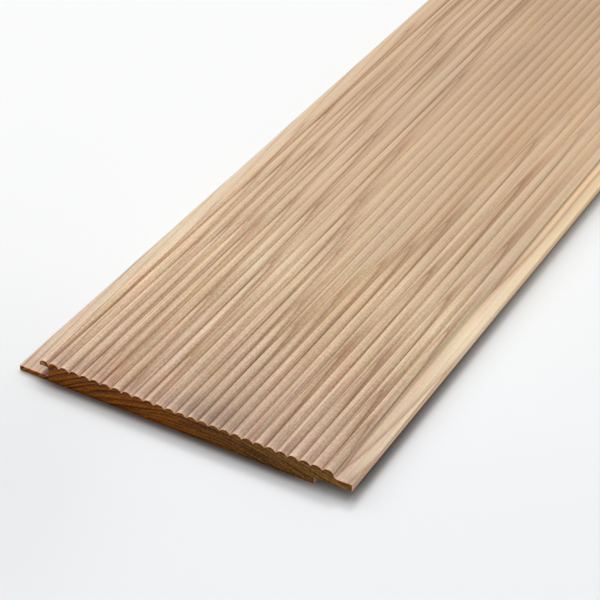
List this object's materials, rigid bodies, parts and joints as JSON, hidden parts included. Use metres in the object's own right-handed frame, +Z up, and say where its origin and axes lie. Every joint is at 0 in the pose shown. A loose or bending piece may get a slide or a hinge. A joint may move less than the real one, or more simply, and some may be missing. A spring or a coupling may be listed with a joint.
{
  "type": "ribbed panelling board",
  "caption": "Softwood wall panelling board with a beaded face, a grooved edge with a nailing lip and a tongued edge, lying face up.",
  "frame": {"origin": "centre of the board's box in X and Y, on its flat back", "axes": "+Y along the grain and the length, +X across from the grooved edge to the tongued edge, +Z up out of the ribbed face"},
  "size_m": [0.153, 1.82, 0.01],
  "materials": {
    "planed_softwood": "matte"
  },
  "bodies": {
    "root": {"panel_board": "planed_softwood"}
  },
  "joints": []
}
